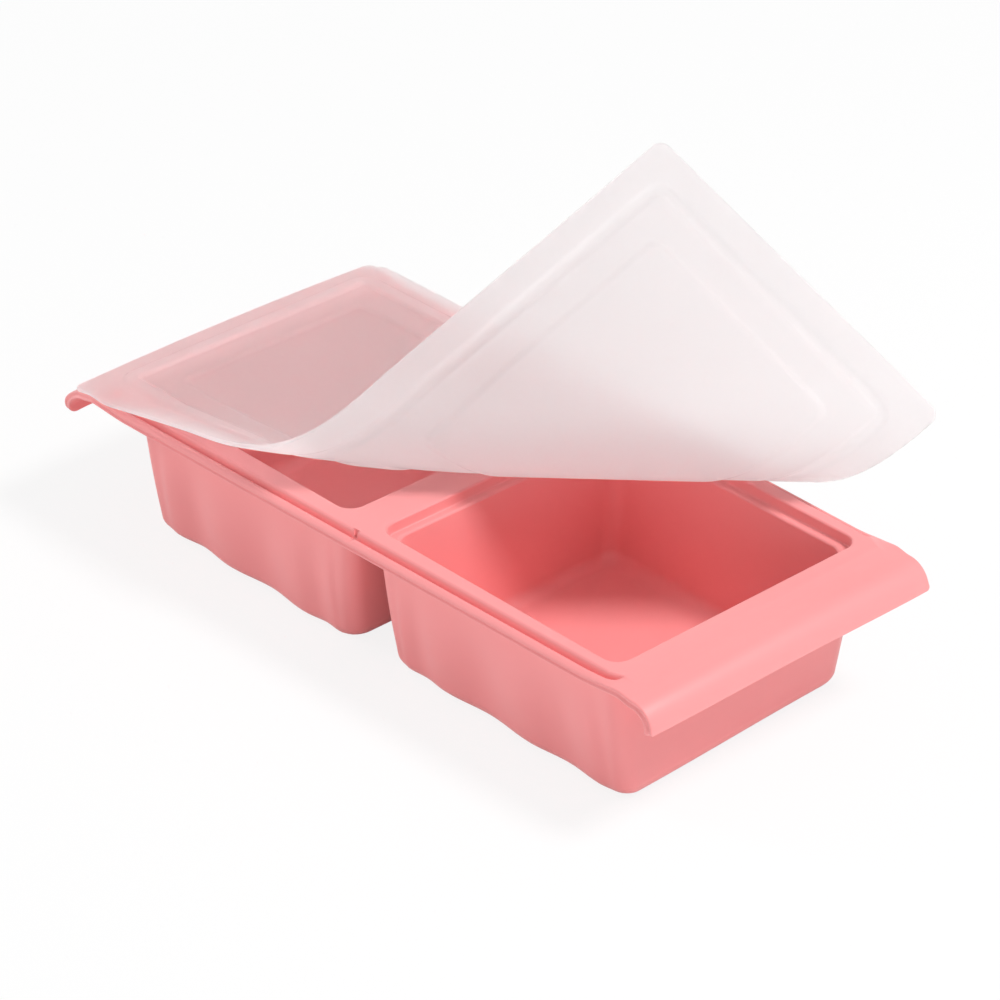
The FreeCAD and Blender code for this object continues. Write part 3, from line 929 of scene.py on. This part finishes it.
def clear_silicone():
    """Frosted silicone: milky and translucent, and half of it lets a blurred picture through."""
    material, tree = new_material("frosted_silicone")
    colour = mottled(tree, (0.965, 0.945, 0.95, 1), (0.945, 0.925, 0.93, 1), 14.0)
    glass = node(tree, "ShaderNodeBsdfPrincipled", Roughness=0.42, IOR=1.2)
    glass.inputs["Transmission Weight"].default_value = 1.0
    glass.inputs["Base Color"].default_value = (0.945, 0.92, 0.92, 1)
    milk = node(tree, "ShaderNodeBsdfPrincipled", Roughness=0.5, IOR=1.41)
    through = tree.nodes.new("ShaderNodeBsdfTranslucent")
    tree.links.new(colour, milk.inputs["Base Color"])
    tree.links.new(colour, through.inputs["Color"])
    cloudy = node(tree, "ShaderNodeMixShader", Fac=0.6)
    body = mixed(tree, cloudy, milk.outputs["BSDF"], through.outputs["BSDF"])
    film = node(tree, "ShaderNodeMixShader", Fac=0.5)
    show(tree, mixed(tree, film, body, glass.outputs["BSDF"]))
    return material


def steel_wire():
    material, tree = new_material("steel_wire")
    colour = mottled(tree, (0.62, 0.62, 0.63, 1), (0.54, 0.54, 0.55, 1), 60.0)
    shader = node(tree, "ShaderNodeBsdfPrincipled", Roughness=0.3, Metallic=1.0)
    tree.links.new(colour, shader.inputs["Base Color"])
    show(tree, shader.outputs["BSDF"])
    return material


# ---------------------------------------------------------------- studio, in metres and watts
FLOOR_SIZE = 12.0
# Share of the floor that the camera sees as plain white. The rest takes light and shadow.
FLOOR_GLOW = 0.85
# Strength of the world's light on the object.
SKY = 0.43
# Lamps: (name, place, diameter, power). Each is aimed at the object's middle.
LAMPS = (
    ("key", (0.77, 0.3, 1.28), 0.4, 15.5),
    ("side", (-1.5, -0.65, 0.35), 0.4, 8.0),
    ("fill", (0.9, -1.2, 0.25), 0.5, 2.6),
)
LAMP_TARGET = (0, 0, 0.03)
CAMERA_HEADING, CAMERA_HEIGHT, CAMERA_DISTANCE = 47.34, 30.70, 1.0625
CAMERA_TARGET = (0.01583, -0.01729, 0.042)
# In mm.
LENS, SENSOR = 151.13, 36.0
CLIP_END = 20.0


def maths(tree, operation, first, second):
    """A math node on two sockets."""
    made = tree.nodes.new("ShaderNodeMath")
    made.operation = operation
    tree.links.new(first, made.inputs[0])
    tree.links.new(second, made.inputs[1])
    return made.outputs["Value"]


def floor_material():
    material, tree = new_material("studio_floor")
    diffuse = node(tree, "ShaderNodeBsdfDiffuse", Color=(0.93, 0.93, 0.93, 1))
    glow = node(tree, "ShaderNodeEmission", Color=(1, 1, 1, 1), Strength=1.0)
    path = tree.nodes.new("ShaderNodeLightPath")
    share = tree.nodes.new("ShaderNodeMath")
    share.operation = "MULTIPLY"
    share.inputs[1].default_value = FLOOR_GLOW
    tree.links.new(path.outputs["Is Camera Ray"], share.inputs[0])
    mix = tree.nodes.new("ShaderNodeMixShader")
    tree.links.new(share.outputs["Value"], mix.inputs["Fac"])
    show(tree, mixed(tree, mix, diffuse.outputs["BSDF"], glow.outputs["Emission"]))
    return material


def make_floor():
    mesh = bpy.data.meshes.new("floor")
    half = FLOOR_SIZE / 2
    corners = [(-half, -half, 0), (half, -half, 0), (half, half, 0), (-half, half, 0)]
    mesh.from_pydata(corners, [], [(0, 1, 2, 3)])
    floor = bpy.data.objects.new("floor", mesh)
    bpy.context.scene.collection.objects.link(floor)
    mesh.materials.append(floor_material())


def make_world():
    """White where it is seen, mirrored or seen through the lid, and weaker where it lights the object."""
    world = bpy.data.worlds.new("studio")
    bpy.context.scene.world = world
    world.use_nodes = True
    tree = world.node_tree
    background = tree.nodes["Background"]
    background.inputs["Color"].default_value = (1, 1, 1, 1)
    path = tree.nodes.new("ShaderNodeLightPath")
    mirrored = maths(tree, "MAXIMUM", path.outputs["Is Camera Ray"], path.outputs["Is Glossy Ray"])
    clear = maths(tree, "GREATER_THAN", path.outputs["Is Transmission Ray"], path.outputs["Diffuse Depth"])
    seen = maths(tree, "MAXIMUM", mirrored, clear)
    strength = tree.nodes.new("ShaderNodeMapRange")
    strength.inputs["To Min"].default_value = SKY
    strength.inputs["To Max"].default_value = 1.0
    tree.links.new(seen, strength.inputs["Value"])
    tree.links.new(strength.outputs["Result"], background.inputs["Strength"])


def make_lamps():
    for name, place, size, power in LAMPS:
        data = bpy.data.lights.new(name, "AREA")
        data.shape = "DISK"
        data.size = size
        data.energy = power
        lamp = bpy.data.objects.new(name, data)
        bpy.context.scene.collection.objects.link(lamp)
        lamp.location = place
        towards = Vector(LAMP_TARGET) - Vector(place)
        lamp.rotation_euler = towards.to_track_quat("-Z", "Y").to_euler()


def make_camera():
    """The camera that was fitted to the photo: heading and height in degrees, distance in metres."""
    data = bpy.data.cameras.new("camera")
    data.sensor_width = SENSOR
    data.sensor_fit = "HORIZONTAL"
    data.lens = LENS
    data.clip_end = CLIP_END
    camera = bpy.data.objects.new("camera", data)
    bpy.context.scene.collection.objects.link(camera)
    heading, height = math.radians(CAMERA_HEADING), math.radians(CAMERA_HEIGHT)
    level = math.cos(height)
    back = Vector((math.sin(heading) * level, -math.cos(heading) * level, math.sin(height)))
    camera.location = Vector(CAMERA_TARGET) + back * CAMERA_DISTANCE
    camera.rotation_euler = (-back).to_track_quat("-Z", "Y").to_euler()
    bpy.context.scene.camera = camera


# ---------------------------------------------------------------- scene
make_tray().data.materials.append(coral_silicone())
frosted = clear_silicone()
for piece in make_lid():
    piece.data.materials.append(frosted)
make_wire().data.materials.append(steel_wire())
make_floor()
make_world()
make_lamps()
make_camera()
bpy.context.scene.view_settings.view_transform = "Standard"
